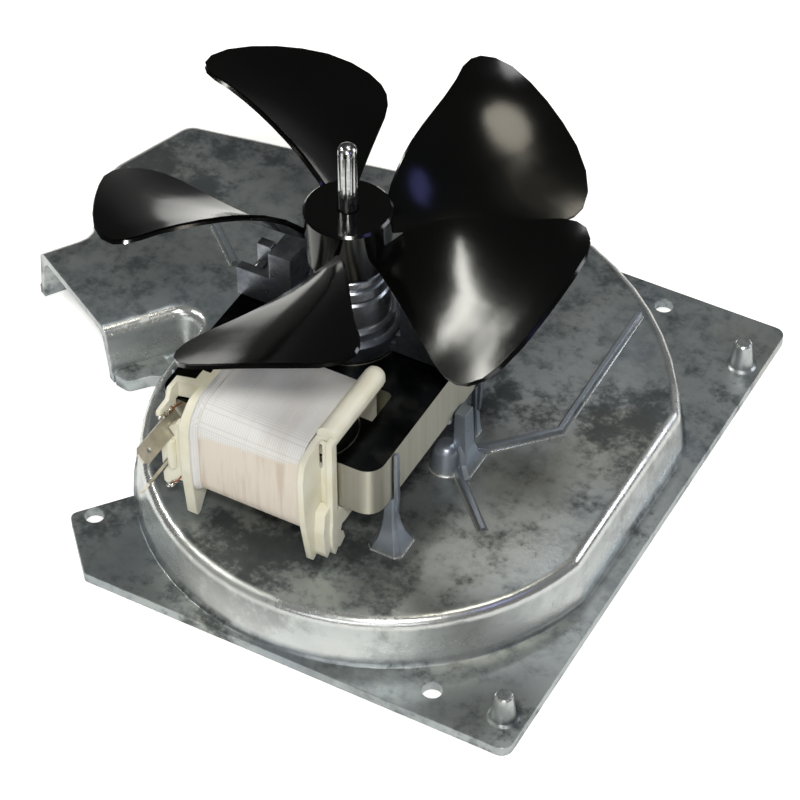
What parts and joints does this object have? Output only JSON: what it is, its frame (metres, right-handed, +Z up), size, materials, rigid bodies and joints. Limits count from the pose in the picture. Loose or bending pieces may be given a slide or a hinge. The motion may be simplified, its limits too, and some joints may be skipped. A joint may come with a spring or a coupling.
{
  "type": "oven fan motor",
  "caption": "Shaded-pole oven cooling-fan motor on a die-cast plate with a blower scroll and side outlet below, and a bladed axial fan on its upright shaft.",
  "frame": {"origin": "middle of the whole part's box in plan, on the plane of the plate's underside", "axes": "+X along the plate's front edge towards its right side, +Y towards the plate's rear edge, +Z up along the motor shaft"},
  "size_m": [0.2, 0.1766, 0.114],
  "materials": {
    "cast_aluminium": "as-cast, mottled grey oxide, burnished at the drum's edge",
    "cast_yoke": "die-cast, blue-grey, satin",
    "electrical_steel": "stamped sheets, dark oxide on top, bare grey-beige sides",
    "cream_plastic": "moulded, slightly yellowed",
    "copper": "copper, enamelled wire and bare rings",
    "cloth_tape": "woven glass-cloth tape",
    "tinned_tab": "dull tin plating",
    "sintered_bronze": "porous bronze, oiled",
    "steel": "ground, bright",
    "fibre": "pressed fibre",
    "black_plastic": "moulded, satin black"
  },
  "bodies": {
    "motor": {"housing_plate": "cast_aluminium", "lamination_frame": "electrical_steel", "coil_core": "electrical_steel", "coil_bobbin": "cream_plastic", "coil_winding": "copper", "coil_tape": "cloth_tape", "terminal_upper": "tinned_tab", "terminal_lower": "tinned_tab", "shading_ring_right": "copper", "shading_ring_left": "copper", "bearing_bridge_upper": "cast_yoke", "bearing_cap": "cast_yoke", "bearing_bush_upper": "sintered_bronze", "bearing_bridge_lower": "cast_yoke", "bearing_bush_lower": "sintered_bronze", "bridge_screw_right": "steel", "bridge_screw_left": "steel"},
    "rotor": {"rotor_shaft": "steel", "rotor_core": "electrical_steel", "thrust_washer_upper": "fibre", "thrust_washer_lower": "fibre", "cooling_fan": "black_plastic", "blower_wheel": "black_plastic", "blower_nut": "steel"}
  },
  "joints": [
    {"name": "rotor_spin", "type": "hinge", "parent": "motor", "child": "rotor", "pos_m": [0.01575, -0.01717, 0.06], "axis": [0, 0, 1], "continuous": true}
  ]
}
